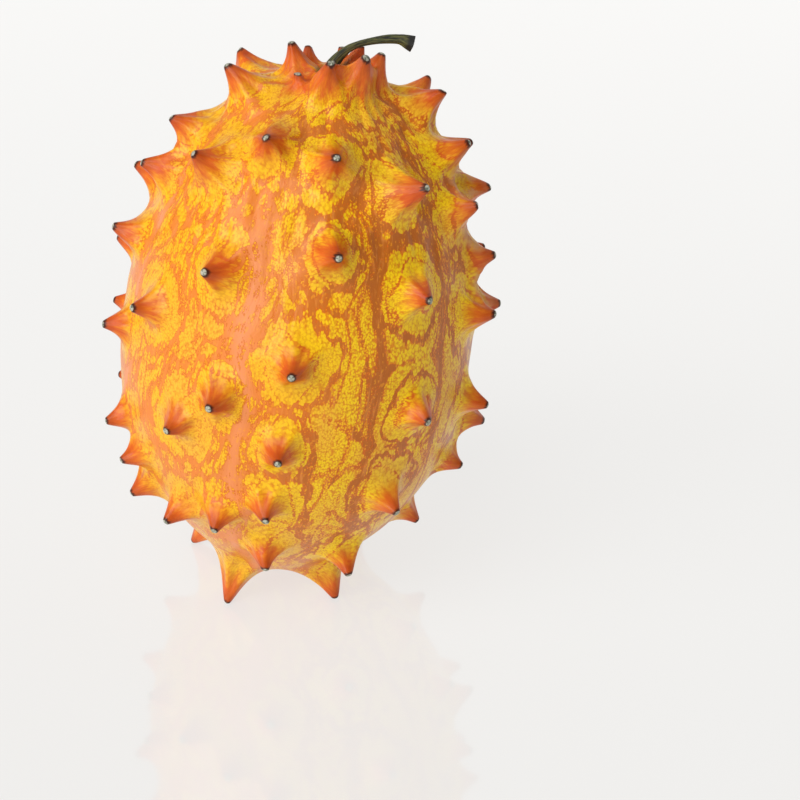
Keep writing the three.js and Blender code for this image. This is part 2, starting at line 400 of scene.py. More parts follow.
print("tallest bell", round(float(raised.max()), 2), "mm")

# %% [markdown]
# ## Tents of skin
#
# Between a horn and its nearest neighbours the skin is stretched into a low ridge, like canvas
# between tent poles. Most are faint. Along one stretch of the right side they are sharper, and
# their crests are pale: partly dried cork, partly a painted highlight along the ridge, which
# "crest" keeps for the colours.

# %% Tents of skin
TENT_NEIGHBOURS, TENT_REACH = 3, 17
TENT_WIDTH, CREST_WIDTH = 1.4, 0.85 * 1.4
TENT_ENDS = (0.02, 0.3)
FAINTEST, STRONGEST, CORKY_EXTRA = 0.05, 0.4, 0.9
CORKY_LONGITUDES = (15, 45), (75, 95)
CORKY_HEIGHTS = (60, 80), (112, 118)
WAVER, WAVER_SIZE = 0.7, 6


def noise_at(points, size):
    """Perlin noise from -1 to 1, with lumps of about that size in mm."""
    return np.array([noise.noise(Vector(p) / size) for p in points])


def within(rise, fall, value):
    """Rises from 0 to 1 over the first pair of values, and falls back over the second."""
    return smooth(*rise, value) * (1 - smooth(*fall, value))


neighbours = np.argsort(spacing, axis=1)[:, :TENT_NEIGHBOURS]
wavy = noise_at(body, WAVER_SIZE)
tent = np.zeros(len(body))
crest = np.zeros(len(body))
for i, near in enumerate(neighbours):
    for j in near:
        if i > j and i in neighbours[j] or spacing[i][j] > TENT_REACH:
            continue
        middle = (roots[i] + roots[j]) / 2
        turned = math.degrees(math.atan2(middle[0], -middle[1]))
        corky = float(within(*CORKY_LONGITUDES, turned) * within(*CORKY_HEIGHTS, middle[2]))
        strength = habit.uniform(FAINTEST, STRONGEST) + CORKY_EXTRA * corky
        if horns[i]["kind"] == horns[j]["kind"] == "crown":
            continue
        run = roots[j] - roots[i]
        along = (body - roots[i]) @ run / np.linalg.norm(run) ** 2
        off_line = np.linalg.norm(body - roots[i] - along[:, None] * run, axis=1) + WAVER * wavy
        ends = smooth(*TENT_ENDS, along) * smooth(*TENT_ENDS, 1 - along)
        tent = np.maximum(tent, strength * ends * np.exp(-((off_line / TENT_WIDTH) ** 2)))
        # where the tents' crests are painted pale, partly cork and partly a painted highlight
        crest = np.maximum(crest, corky * ends * np.exp(-((off_line / CREST_WIDTH) ** 2)))
print("highest tent", round(float(tent.max()), 2), "mm")

# %% [markdown]
# ## A place on the unrolled skin
#
# Furrows and streaks run from stem to blossom end. Noise that is only stretched upwards would
# smear near the poles. So the skin is unrolled onto a barrel: the distance along the skin becomes
# a height, and points near the poles are spread out to the barrel's radius.

# %% A place on the unrolled skin
BARREL_RADIUS = 18
LEAST_RADIUS = 0.5
MERIDIAN_STEPS = 200


def unrolled(points):
    """Points on a barrel round the fruit, where lines that meet at the poles run side by side."""
    across, height = np.hypot(points[:, 0], points[:, 1]), points[:, 2] - LOWER_LENGTH
    turned = np.arctan2(across / GIRTH_RADIUS, -height / np.where(height < 0, LOWER_LENGTH, UPPER_LENGTH))
    steps = np.linspace(0, math.pi, MERIDIAN_STEPS)
    meridian = surface_at(steps, 0 * steps)[0]
    run = np.concatenate([[0], np.cumsum(np.linalg.norm(np.diff(meridian, axis=0), axis=1))])
    spread = np.hypot(1, BARREL_RADIUS / np.maximum(across, LEAST_RADIUS))
    return np.column_stack([points[:, 0] * spread, points[:, 1] * spread, np.interp(turned, steps, run)])


print("pole to pole along the skin:", round(float(unrolled(poles + [TINY, 0, 0])[1, 2]), 1), "mm")

# %% [markdown]
# ## Dents and furrows
#
# The skin between the horns is gently dented, and towards the stem fine furrows run up it. Both
# only go inwards, so that the fruit never grows past its size. A tent fades out where a horn
# already stands high.

# %% Dents and furrows
DENT_DEPTH, DENT_SIZE, RIPPLE_DEPTH = 0.7, 13, 0.25
FURROW_DEPTH, FURROW_WIDTH, FURROW_SHARE = 0.55, 3.4, 0.2
FURROW_EDGE, FURROWS_FROM = (-0.1, 0.45), (80, 108)
TENT_FADES = (2, 5)

dent = DENT_DEPTH * (1 + noise_at(body, DENT_SIZE)) / 2 + RIPPLE_DEPTH * (1 + wavy) / 2
furrow = smooth(*FURROW_EDGE, noise_at(unrolled(body) * [1, 1, FURROW_SHARE], FURROW_WIDTH))
furrow *= smooth(*FURROWS_FROM, body[:, 2])
dent += FURROW_DEPTH * furrow
tent *= 1 - smooth(*TENT_FADES, raised)
body_shape = body + lift + normal * (tent - dent)[:, None]
print("deepest dent", round(float(dent.max()), 2), "mm")

# %% [markdown]
# ## The two scars
#
# On top the stalk stands in a round scar with a low swollen rim. At the bottom the flower left a
# small dry button. Both are rings about the fruit's axis, so their depth is a formula of the
# distance from it. Then the whole fruit is bent and stood up, and what would reach below the table
# is pressed flat against it.

# %% The two scars
SEAT_RADIUS, SEAT_DEPTH = 2.5, 1.3
SEAT_FLOOR, SEAT_EDGE = 0.75 * SEAT_RADIUS, 1.1 * SEAT_RADIUS
RIM_RADIUS, RIM_WIDTH, RIM_HEIGHT = 1.45 * SEAT_RADIUS, 0.8, 0.5
SCAR_FULL, SCAR_EDGE = 0.9 * SEAT_RADIUS, 1.5 * SEAT_RADIUS
BUTTON_RADIUS, BUTTON_DEPTH = 2.2, 0.6
BUTTON_FLOOR = 0.6 * BUTTON_RADIUS

from_axis = np.hypot(body[:, 0], body[:, 1])
seat = SEAT_DEPTH * (1 - smooth(SEAT_FLOOR, SEAT_EDGE, from_axis))
rim = RIM_HEIGHT * np.exp(-(((from_axis - RIM_RADIUS) / RIM_WIDTH) ** 2))
button = BUTTON_DEPTH * (1 - smooth(BUTTON_FLOOR, BUTTON_RADIUS, from_axis))
body_shape[:, 2] += np.where(body[:, 2] > LENGTH / 2, rim - seat, button)
scar = 1 - smooth(SCAR_FULL, SCAR_EDGE, from_axis)

standing = stand(bend(body_shape), OFFSET)
standing[:, 2] = np.maximum(standing[:, 2], 0)
write_points(fruit.data, standing * MM)
bpy.ops.object.shade_smooth()
print("fruit:", [round(v / MM, 1) for v in fruit.dimensions])

# %% [markdown]
# ## Fields round the horns
#
# The pattern on the skin follows the horns: a yellow field round each one, a coral line round the
# field, and another where two fields meet. A texture can't know where the horns are, so that is
# worked out here for the material to read. "field" is the distance to the nearest horn, shorter
# along the fruit and warped by noise, so that fields are longer than wide and uneven. "border" is
# small where two horns are equally near, and "from_horn" is the plain distance.

# %% Fields round the horns
WARP, WARP_SIZE, NOISES_APART = 2.4, 10, (0, 310, 670)
FIELD_LENGTH = 1.25
SMALLEST_FIELD, LARGEST_FIELD = 0.88, 1.18
CROWN_NEARNESS = 0.95  # below 1, the red of the crown's horns spreads further


def field_distance(points, horn):
    """Distance to a horn's root, shorter along the fruit, so that a field is longer than wide."""
    gap = points - horn["root"]
    along = gap @ horn["to_stem"]
    return np.sqrt(np.maximum((gap**2).sum(axis=1) - along**2 * (1 - FIELD_LENGTH**-2), 0))


warped = body + WARP * np.stack([noise_at(body + apart, WARP_SIZE) for apart in NOISES_APART], axis=1)
from_horn = np.full(len(body), FAR)
field = np.full(len(body), FAR)
second = np.full(len(body), FAR)
for horn in horns:
    reach = np.linalg.norm(body - horn["root"], axis=1)
    from_horn = np.minimum(from_horn, reach * (CROWN_NEARNESS if horn["kind"] == "crown" else 1))
    there = field_distance(warped, horn) * habit.uniform(SMALLEST_FIELD, LARGEST_FIELD)
    second = np.minimum(second, np.maximum(field, there))
    field = np.minimum(field, there)
border = second - field
print("furthest from a horn:", round(float(from_horn.max()), 1), "mm")

# %% [markdown]
# ## The grain of the skin
#
# The fine streaks part round each horn, as wood grain parts round a knot. So "grain" is a place on
# the unrolled skin, with the skin pulled towards each horn from above and below and pushed away at
# its sides. Whatever the material draws along it then flows round the horns.

# %% The grain of the skin
KNOT, KNOT_REACH = 5, 22

parted = body.copy()
for horn in horns:
    gap = body - horn["root"]
    across, along = gap @ horn["side"], gap @ horn["to_stem"]
    reach = np.linalg.norm(gap, axis=1)
    fade = np.clip(1 - (reach / KNOT_REACH) ** 2, 0, 1) ** 2
    pull = KNOT**2 / (reach**2 + KNOT**2) * fade
    parted += (along * pull)[:, None] * horn["to_stem"] - (across * pull)[:, None] * horn["side"]
grain = unrolled(parted)
print("the grain moves by up to", round(float(np.abs(parted - body).max()), 1), "mm")

# %% [markdown]
# ## Bands and the painted lit side
#
# Between the columns of horns the coral runs unbroken towards the blossom end, in bands a few
# millimetres wide that meander, swell and shrink, and fade out below the stem. The fruit's left
# side is painted as lit and its right as shaded: this mask makes the left lighter and pinker than
# the right, a painted light and shade.

# %% Bands and the painted lit side
BANDS = [  # longitude of the middle, width in mm
    (-73, 1.2), (-20, 3), (24, 2.1), (51, 1.3), (98, 2.6), (142, 2.2), (188, 3), (213, 1.6), (238, 2.6),
]
MEANDER, MEANDER_SIZE, MEANDER_SHARE = 7, 24, 0.6
SWELL, SWELL_CHANGE, SWELL_SIZE = 0.8, 0.7, 15
BAND_OFF_HORN, BANDS_END = (3, 7), (96, 116)
PAINTED_LIT_EDGE, PAINTED_LIT_CHANGE, PAINTED_LIT_SIZE = (0.35, -0.45), 0.25, 20

longitude = np.degrees(np.arctan2(parted[:, 0], -parted[:, 1]))
radius = np.hypot(parted[:, 0], parted[:, 1])
meander = MEANDER * noise_at(body * [1, 1, MEANDER_SHARE], MEANDER_SIZE)
swell = SWELL + SWELL_CHANGE * noise_at(body, SWELL_SIZE)
band = np.zeros(len(body))
for middle, width in BANDS:
    aside = np.radians((longitude + meander - middle + 180) % 360 - 180) * radius
    band = np.maximum(band, np.exp(-((aside / (width * swell)) ** 2)))
band *= smooth(*BAND_OFF_HORN, from_horn) * (1 - smooth(*BANDS_END, body[:, 2]))
# painted light and shade: 1 on the fruit's left, which is painted as lit, and 0 on its right, painted as
# shaded
painted_lit_side = smooth(*PAINTED_LIT_EDGE, body[:, 0] / GIRTH_RADIUS + PAINTED_LIT_CHANGE * noise_at(body, PAINTED_LIT_SIZE))
print("share of the skin in the sun:", round(float(painted_lit_side.mean()), 2))

# %% [markdown]
# ## Writing it onto the mesh
#
# What the skin has to know becomes attributes: a number or a place at each point of the mesh. All
# of them change slowly, so the points are close enough, and fine detail is left to noise.

# %% Writing it onto the mesh


def write_attribute(mesh, name, values):
    vector = values.ndim == 2
    attribute = mesh.attributes.new(name, "FLOAT_VECTOR" if vector else "FLOAT", "POINT")
    attribute.data.foreach_set("vector" if vector else "value", values.astype(np.float32).ravel())


known = {"below_tip": below_tip, "from_horn": from_horn, "field": field, "border": border,
         "band": band, "crest": crest, "scar": scar, "furrow": furrow, "painted_lit_side": painted_lit_side,
         "grain": grain, "flank": flank}
for name, values in known.items():
    write_attribute(fruit.data, name, values)
    print(name, "from", values.min().round(2), "to", values.max().round(2))

# %% [markdown]
# ## Helpers for the materials
#
# A colour is easiest to name by the red, green and blue that a screen shows, from 0 to 255, while
# the shader wants linear light, so srgb() turns one into the other. The other helpers add a node
# with its inputs and settings, in one line each.

# %% Helpers for the materials


def srgb(red, green, blue):
    """Screen colour to the shader's linear colour."""
    channels = [c / 255 for c in (red, green, blue)]
    return (*[c / 12.92 if c <= 0.04045 else ((c + 0.055) / 1.055) ** 2.4 for c in channels], 1)


def add(tree, kind, inputs=None, **settings):
    """Adds a node. An input is a value, or a socket to link from."""
    node = tree.nodes.new(kind)
    for name, value in settings.items():
        setattr(node, name, value)
    for key, value in (inputs or {}).items():
        socket = node.inputs[key]
        if isinstance(value, bpy.types.NodeSocket):
            tree.links.new(value, socket)
        else:
            socket.default_value = value
    return node


def maths(tree, operation, *values):
    inputs = dict(enumerate(values))
    return add(tree, "ShaderNodeMath", inputs, operation=operation).outputs[0]


def blend(tree, amount, first, second):
    """Mixes two colours by an amount from 0 to 1."""
    inputs = {0: amount, 6: first, 7: second}  # a Mix node's colour sockets are 6 and 7
    return add(tree, "ShaderNodeMix", inputs, data_type="RGBA").outputs[2]


def step(tree, value, edge):
    """A soft step: 0 at the edge's first number, 1 at its second. It falls when the first is greater."""
    inputs = {"Value": value, "From Min": edge[0], "From Max": edge[1]}
    return add(tree, "ShaderNodeMapRange", inputs, interpolation_type="SMOOTHSTEP").outputs[0]


def lay_over(tree, under, over, value, edge, most=1):
    """Lays a colour over another where a value passes an edge, no more thickly than most."""
    amount = step(tree, value, edge)
    return blend(tree, amount if most == 1 else maths(tree, "MULTIPLY", amount, most), under, over)


def attribute(tree, name, output="Fac"):
    return add(tree, "ShaderNodeAttribute", attribute_name=name).outputs[output]


print("a mid grey on the screen is", round(srgb(128, 128, 128)[0], 3), "in linear light")

# %% [markdown]
# ## Mottling, a shared effect
#
# Skin and stalk are both mottled: streaks, lumps and fine speckle are the same noise at different
# sizes and stretches. So the effect is a node group, built once, that takes the size of its
# marks, in millimetres, and their stretch.

# %% Mottling, a shared effect
mottling = bpy.data.node_groups.new("mottling", "ShaderNodeTree")
mottling.interface.new_socket("Place", in_out="INPUT", socket_type="NodeSocketVector")
for name in ("Size", "Stretch", "Detail", "Contrast"):
    socket = mottling.interface.new_socket(name, in_out="INPUT", socket_type="NodeSocketFloat")
    socket.default_value = 1.0
mottling.interface.new_socket("Mask", in_out="OUTPUT", socket_type="NodeSocketFloat")
inside = mottling.nodes.new("NodeGroupInput").outputs
fine = maths(mottling, "DIVIDE", 1.0, inside["Size"])
stretched = maths(mottling, "DIVIDE", fine, inside["Stretch"])
scale = add(mottling, "ShaderNodeCombineXYZ", {"X": fine, "Y": fine, "Z": stretched}).outputs[0]
place = add(mottling, "ShaderNodeVectorMath", {0: inside["Place"], 1: scale}, operation="MULTIPLY")
cloud = add(mottling, "ShaderNodeTexNoise", {"Vector": place.outputs[0], "Scale": 1.0,
                                             "Detail": inside["Detail"]})
centred = maths(mottling, "SUBTRACT", cloud.outputs[0], 0.5)
mask = maths(mottling, "MULTIPLY", centred, inside["Contrast"])
group_out = mottling.nodes.new("NodeGroupOutput")
mottling.links.new(mask, group_out.inputs[0])


def mottle(tree, place, size, stretch=1.0, detail=2.0, contrast=1.0):
    """Noise centred on 0, with marks of a size in mm."""
    node = add(tree, "ShaderNodeGroup", node_tree=mottling)
    for name, value in {"Size": size, "Stretch": stretch, "Detail": detail, "Contrast": contrast}.items():
        node.inputs[name].default_value = value
    tree.links.new(place, node.inputs["Place"])
    return node.outputs["Mask"]


print("mottling takes", [s.name for s in mottling.interface.items_tree if s.in_out == "INPUT"])

# %% [markdown]
# ## The marks on the rind
#
# Ripe rind is coral orange under a net of yellow. Before any colour is mixed, each mark gets a mask
# of its own, made from what the mesh knows and from mottling along the grain: the yellow field
# round each horn, the coral ring round it, the border where two fields meet, coral lines that run
# round the fields like contours on a map, finer ones on the side painted as lit, and the grains of
# the yellow, half a millimetre across, which are the cells of a Voronoi texture.

# %% The marks on the rind
FIELD_EDGE, FIELD_RAGGED = (7.8, 6.2), 8
RING_RADIUS, RING_EDGE = 8.2, (1.1, 0.5)
BORDER_EDGE, BORDER_RAGGED = (1.3, 0.5), 4
LINE_EDGE, FINE_LINE_EDGE, LINES_PER_FIELD = (0.45, 0.2), (0.45, 0.15), 0.6
GRAIN_SIZE, GRAIN_RADIUS = 0.55, 0.42

rind = bpy.data.materials.new("rind")
rind.use_nodes = True
tree = rind.node_tree
grain_in = attribute(tree, "grain", "Vector")
# the mask of painted light and shade: 1 where the skin is painted as lit, 0 where it is painted as shaded
painted_lit_side_in = attribute(tree, "painted_lit_side")
band_in = attribute(tree, "band")
streak = mottle(tree, grain_in, size=1.0, stretch=6, detail=3)
island = mottle(tree, grain_in, size=2.4, stretch=2, detail=3)
region = mottle(tree, grain_in, size=14, stretch=1.5, detail=1)
speckle = mottle(tree, grain_in, size=0.55, stretch=1.4, detail=2)
pepper = mottle(tree, grain_in, size=0.8, detail=1)


def contours(tree, height, edge):
    """Thin lines along which a slowly changing height passes a multiple of pi."""
    return step(tree, maths(tree, "ABSOLUTE", maths(tree, "SINE", height)), edge)


ragged_field = maths(tree, "MULTIPLY_ADD", island, FIELD_RAGGED, attribute(tree, "field"))
ragged_border = maths(tree, "MULTIPLY_ADD", island, BORDER_RAGGED, attribute(tree, "border"))
in_field = step(tree, ragged_field, FIELD_EDGE)
off_ring = maths(tree, "ABSOLUTE", maths(tree, "SUBTRACT", ragged_field, RING_RADIUS))
flow = mottle(tree, grain_in, size=9, stretch=6, detail=1, contrast=11)
flow = maths(tree, "MULTIPLY_ADD", attribute(tree, "field"), LINES_PER_FIELD, flow)
fine_flow = mottle(tree, grain_in, size=7, stretch=7, detail=1, contrast=24)
fine_lines = contours(tree, fine_flow, FINE_LINE_EDGE)
cells = add(tree, "ShaderNodeTexVoronoi", {"Vector": grain_in, "Scale": 1 / GRAIN_SIZE}, feature="F1")
grains = maths(tree, "SUBTRACT", GRAIN_RADIUS, cells.outputs["Distance"])
print("masks so far take", len(tree.nodes), "nodes")

# %% [markdown]
# ## Yellow or coral
#
# Nowhere is the edge between the two colours sharp: it breaks up into islands, streaks and grains.
# So the masks aren't painted one over another. They vote: each adds to or takes from one score, and
# the skin is yellow where the score is above 0. Near 0 the finest masks decide, which makes the
# edges ragged and grainy.

# %% Yellow or coral
YELLOW_AT_FIRST = 0.62
votes = [  # the mask, and how much it speaks for yellow
    (in_field, 0.16),
    # painted light: the side painted as lit is made more yellow
    (painted_lit_side_in, 0.2),
    (step(tree, off_ring, RING_EDGE), -0.85),
    (band_in, -1.0),
    (step(tree, ragged_border, BORDER_EDGE), -0.5),
    (contours(tree, flow, LINE_EDGE), -0.62),
    # finer coral lines only on the side painted as lit
    (maths(tree, "MULTIPLY", fine_lines, painted_lit_side_in), -0.6),
    (attribute(tree, "furrow"), -0.35),
    (region, 0.3),
    (island, 0.35),
    (streak, 0.6),
    (grains, 0.85),
]
score = YELLOW_AT_FIRST
for mask, weight in votes:
    score = maths(tree, "MULTIPLY_ADD", mask, weight, score)
print(len(votes), "masks decide between yellow and coral")

# %% [markdown]
# ## The two colours of the skin
#
# The coral and the yellow each come in a copy painted as lit and a copy painted as shaded, mixed
# by the mask of the lit side. The coral is pinker in the bands of the side painted as lit, a
# painted sheen, deeper right beside the yellow, and has pale streaks and a pepper of yellow in it.
# The yellow is brightest where its score is highest, paler in large patches, and browner in the
# seams between its grains. On the side painted as lit the edge between the two is softer.

# %% The two colours of the skin
# painted light and shade: each colour has a copy for the side painted as shaded and one for the side
# painted as lit
CORAL_IN_PAINTED_SHADE, CORAL_IN_PAINTED_LIGHT = srgb(184, 99, 26), srgb(222, 124, 44)
# painted sheen: the pinkest coral stands for a sheen on the bands of the side painted as lit
CORAL_PAINTED_SHEEN, CORAL_DEEP = srgb(227, 137, 82), srgb(206, 100, 22)
CORAL_PALE, CORAL_PEPPER = srgb(228, 146, 66), srgb(232, 152, 34)
YELLOW_DULL, YELLOW_PALE = srgb(226, 142, 18), srgb(230, 168, 52)
YELLOW_IN_PAINTED_SHADE, YELLOW_IN_PAINTED_LIGHT = srgb(242, 200, 18), srgb(238, 180, 24)
YELLOW_SEAM, YELLOW_SPECK = srgb(206, 116, 14), srgb(204, 110, 14)
TONE_BY_GRAIN, TONE_BY_FIELD = 0.5, 0.12
PAINTED_LIT_SOFTNESS, SKIN_EDGE = 0.9, (-0.07, 0.08)

# painted light and shade: coral mixed from its shaded copy to its lit copy
coral = blend(tree, painted_lit_side_in, CORAL_IN_PAINTED_SHADE, CORAL_IN_PAINTED_LIGHT)
# painted sheen: the bands on the side painted as lit turn pinker
coral = blend(tree, maths(tree, "MULTIPLY", band_in, painted_lit_side_in), coral, CORAL_PAINTED_SHEEN)
coral = lay_over(tree, coral, CORAL_DEEP, score, edge=(-0.45, -0.05))
coral = lay_over(tree, coral, CORAL_PALE, streak, edge=(0, 0.22), most=0.5)
coral = lay_over(tree, coral, CORAL_PEPPER, pepper, edge=(0.1, 0.2), most=0.6)

patches = mottle(tree, grain_in, size=18, stretch=1.5, detail=1)
tone = maths(tree, "MULTIPLY_ADD", in_field, TONE_BY_FIELD, score)
tone = maths(tree, "MULTIPLY_ADD", grains, TONE_BY_GRAIN, tone)
# painted light and shade: the brightest yellow mixed from its shaded copy to its lit copy
bright = blend(tree, painted_lit_side_in, YELLOW_IN_PAINTED_SHADE, YELLOW_IN_PAINTED_LIGHT)
yellow = lay_over(tree, YELLOW_DULL, bright, tone, edge=(0, 0.6))
yellow = lay_over(tree, yellow, YELLOW_PALE, patches, edge=(0, 0.2), most=0.6)
yellow = lay_over(tree, yellow, YELLOW_SEAM, grains, edge=(-0.02, -0.2), most=0.35)
yellow = lay_over(tree, yellow, YELLOW_SPECK, pepper, edge=(0.04, 0.16), most=0.5)

# the edge between coral and yellow is softer on the side painted as lit
softened = maths(tree, "DIVIDE", score, maths(tree, "MULTIPLY_ADD", painted_lit_side_in, PAINTED_LIT_SOFTNESS, 1.0))
skin = lay_over(tree, coral, yellow, softened, edge=SKIN_EDGE)
print("coral and yellow take", len(tree.nodes), "nodes")

# %% [markdown]
# ## Red flanks, dark tips and scars
#
# A horn reddens up its flank in streaks, turns brown near the tip and nearly black just under it,
# and the tip itself is worn to a pale grey button of cork. The streaks are noise on the horn's
# unrolled flank, so they run up to its tip. The pale crests of the corky tents, partly cork and
# partly a painted highlight, and the two scars are laid over last.

# %% Red flanks, dark tips and scars
FLANK_DEEP, FLANK_LIGHT = srgb(190, 58, 14), srgb(228, 108, 34)
FLANK_RAGGED, TIP_RAGGED, CREST_RAGGED = 4.0, 1.2, (-0.15, 0.08)
TIP_BROWN, TIP_BLACK = srgb(150, 46, 10), srgb(64, 25, 11)
TIP_DULL, TIP_PALE = srgb(98, 104, 88), srgb(178, 176, 158)
# the crest colour is partly dried cork and partly a painted highlight along the ridge
CORK_AND_PAINTED_HIGHLIGHT, SCAR_OLIVE = srgb(210, 156, 108), srgb(102, 96, 56)

flank_in = attribute(tree, "flank", "Vector")
below_tip_in = attribute(tree, "below_tip")
flank_noise = add(tree, "ShaderNodeTexNoise", {"Vector": flank_in, "Scale": 2.6, "Detail": 2.0}).outputs[0]
tip_noise = add(tree, "ShaderNodeTexNoise", {"Vector": flank_in, "Scale": 1.1, "Detail": 1.0}).outputs[0]
from_root = maths(tree, "MULTIPLY_ADD", flank_noise, FLANK_RAGGED, attribute(tree, "from_horn"))
from_tip = maths(tree, "MULTIPLY_ADD", speckle, TIP_RAGGED, below_tip_in)
red = blend(tree, flank_noise, FLANK_DEEP, FLANK_LIGHT)
button_grey = lay_over(tree, TIP_DULL, TIP_PALE, tip_noise, edge=(0.35, 0.6))
# pale crests of the tents, partly cork and partly a painted highlight; the same mask also dulls the
# roughness
crest_cork_and_highlight = maths(tree, "MULTIPLY", attribute(tree, "crest"), step(tree, streak, CREST_RAGGED))

skin = lay_over(tree, skin, red, from_root, edge=(7.2, 3.8), most=0.9)
skin = lay_over(tree, skin, TIP_BROWN, from_tip, edge=(3.6, 1), most=0.5)
skin = lay_over(tree, skin, TIP_BLACK, from_tip, edge=(1.05, 0.35))
skin = lay_over(tree, skin, button_grey, below_tip_in, edge=(0.26, 0.14))
# partly cork, partly a painted highlight: the crests of the tents are painted pale
skin = blend(tree, crest_cork_and_highlight, skin, CORK_AND_PAINTED_HIGHLIGHT)
skin = blend(tree, attribute(tree, "scar"), skin, SCAR_OLIVE)
print("with horns and scars:", len(tree.nodes), "nodes")

# %% [markdown]
# ## Wax and pores
#
# The skin is waxy, with a soft patchy sheen, and dull where it is corky. Pores and fine streaks
# give it a relief too fine for the mesh, so a bump carries it. The fruit then rides on the model's
# one body and takes the plain fruit's place.

# %% Wax and pores
WAX_ROUGHNESS, PATCHY_ROUGHNESS, CORK_ROUGHNESS = 0.31, 0.2, 0.25
SHEEN_LEVEL = 0.25
PORE_DEPTH, STREAK_DEPTH = 0.6, 1.2
RIND_RELIEF, RIND_RELIEF_MM = 0.35, 0.25

shader = tree.nodes["Principled BSDF"]
patchy = mottle(tree, grain_in, size=4, stretch=2.5, detail=3)
roughness = maths(tree, "MULTIPLY_ADD", patchy, PATCHY_ROUGHNESS, WAX_ROUGHNESS)
roughness = maths(tree, "MULTIPLY_ADD", crest_cork_and_highlight, CORK_ROUGHNESS, roughness)
pores = maths(tree, "MULTIPLY_ADD", speckle, PORE_DEPTH, maths(tree, "MULTIPLY", streak, STREAK_DEPTH))
bump = add(tree, "ShaderNodeBump", {"Strength": RIND_RELIEF, "Distance": RIND_RELIEF_MM * MM,
                                    "Height": pores})
tree.links.new(skin, shader.inputs["Base Color"])
tree.links.new(roughness, shader.inputs["Roughness"])
tree.links.new(bump.outputs[0], shader.inputs["Normal"])
shader.inputs["Specular IOR Level"].default_value = SHEEN_LEVEL

fruit.data.materials.clear()
fruit.data.materials.append(rind)
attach(fruit, "root")
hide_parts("fruit")
print("rind has", len(tree.nodes), "nodes")

# %% [markdown]
# ## The stalk
#
# What is left of the stalk has dried hard: a stiff curved rod, thicker where it joined the fruit,
# with five ribs that twist slowly along it and a flared, dark cut end. It is modelled straight, as
# a circle extruded ring by ring, with two rings inset in its ends for the hollow of the cut, and
# bent afterwards.

# %% The stalk
STEM_SIDES, STEM_RINGS = 40, 90
END_RING, END_HOLLOW = 0.25, 0.35

bpy.ops.object.select_all(action="DESELECT")
bpy.ops.mesh.primitive_circle_add(vertices=STEM_SIDES, radius=1, fill_type="NGON", location=(0, 0, 0))
stem = bpy.context.object
stem.name = "dried_stalk"
bpy.ops.object.mode_set(mode="EDIT")
bpy.ops.mesh.select_all(action="SELECT")
bpy.ops.mesh.inset(thickness=END_RING)
bpy.ops.mesh.inset(thickness=END_HOLLOW)
bpy.ops.mesh.select_all(action="SELECT")
for _ in range(STEM_RINGS):
    bpy.ops.mesh.extrude_region_move(TRANSFORM_OT_translate={"value": (0, 0, 1 / STEM_RINGS)})
bpy.ops.mesh.select_all(action="SELECT")
bpy.ops.mesh.normals_make_consistent(inside=False)
bpy.ops.object.mode_set(mode="OBJECT")
print("straight stalk:", len(stem.data.polygons), "faces")

# %% [markdown]
# ## The stalk's curve
#
# The curve is a Catmull-Rom one through six points, as a designer's spline tool draws. It is read
# at equal steps of its length, so that the rings keep an even spacing. Each ring also needs two
# directions: along the curve, and square to it.

# %% The stalk's curve
STEM_SINK, STEM_GAP = 1.1, 0.3
STEM_ROUTE = np.array([(0, 0, STEM_GAP - STEM_SINK), (0.1, 0, 1.2), (3.4, 0.4, 5.2),
                       (8.8, 1.1, 7.1), (13.6, 1.5, 7.6), (16.2, 1.2, 7)])
ROUTE_SAMPLES = 400
SIDEWAYS = np.array([0, 1, 0])


def spline_point(points, place):
    """A point of the centripetal Catmull-Rom curve. place runs from 0 to the number of spans."""
    padded = np.vstack([2 * points[0] - points[1], points, 2 * points[-1] - points[-2]])
    span = min(int(place), len(points) - 2)
    four = padded[span:span + 4]
    times = np.concatenate([[0], np.cumsum(np.linalg.norm(np.diff(four, axis=0), axis=1) ** 0.5)])
    time = times[1] + (place - span) * (times[2] - times[1])

    def between(first, second, start, end):
        return (first * (end - time) + second * (time - start)) / (end - start)

    a, b, c = (between(four[i], four[i + 1], times[i], times[i + 1]) for i in range(3))
    d, e = between(a, b, times[0], times[2]), between(b, c, times[1], times[3])
    return between(d, e, times[1], times[2])


places = np.linspace(0, len(STEM_ROUTE) - 1, ROUTE_SAMPLES)
samples = np.array([spline_point(STEM_ROUTE, place) for place in places])
run = np.concatenate([[0], np.cumsum(np.linalg.norm(np.diff(samples, axis=0), axis=1))])
even = np.linspace(0, run[-1], STEM_RINGS + 1)
line = np.stack([np.interp(even, run, samples[:, k]) for k in range(3)], axis=1)
ahead = unit_rows(np.gradient(line, axis=0))
over = unit_rows(np.cross(SIDEWAYS, ahead))
print("stalk:", round(float(run[-1]), 1), "mm long")

# %% [markdown]
# ## Bending the stalk
#
# A point's height in the straight stalk says which ring of the curve it goes to, and its place in
# the circle says where in that ring. The rings are narrowest a little below the middle and flare at
# both ends. Ribs, small knobs and the hollow of the cut end are formulas of the same numbers.

# %% Bending the stalk
STEM_RADII = [1.8, 1.35, 0.95, 0.72, 0.78, 0.95, 1.1, 1.85]
RIBS, RIB_DEPTH, RIB_TWIST = 5, 0.1, 1.1
KNOB_DEPTH, KNOBS_ROUND, KNOBS_ALONG = 0.05, 1.5, 14
HOLLOW_DEPTH, HOLLOW_FLOOR, HOLLOW_EDGE = 0.5, 0.3, 0.95
AT_CUT_END = 0.999
CREASE_ANGLE = 50
BARK_LENGTH = 24

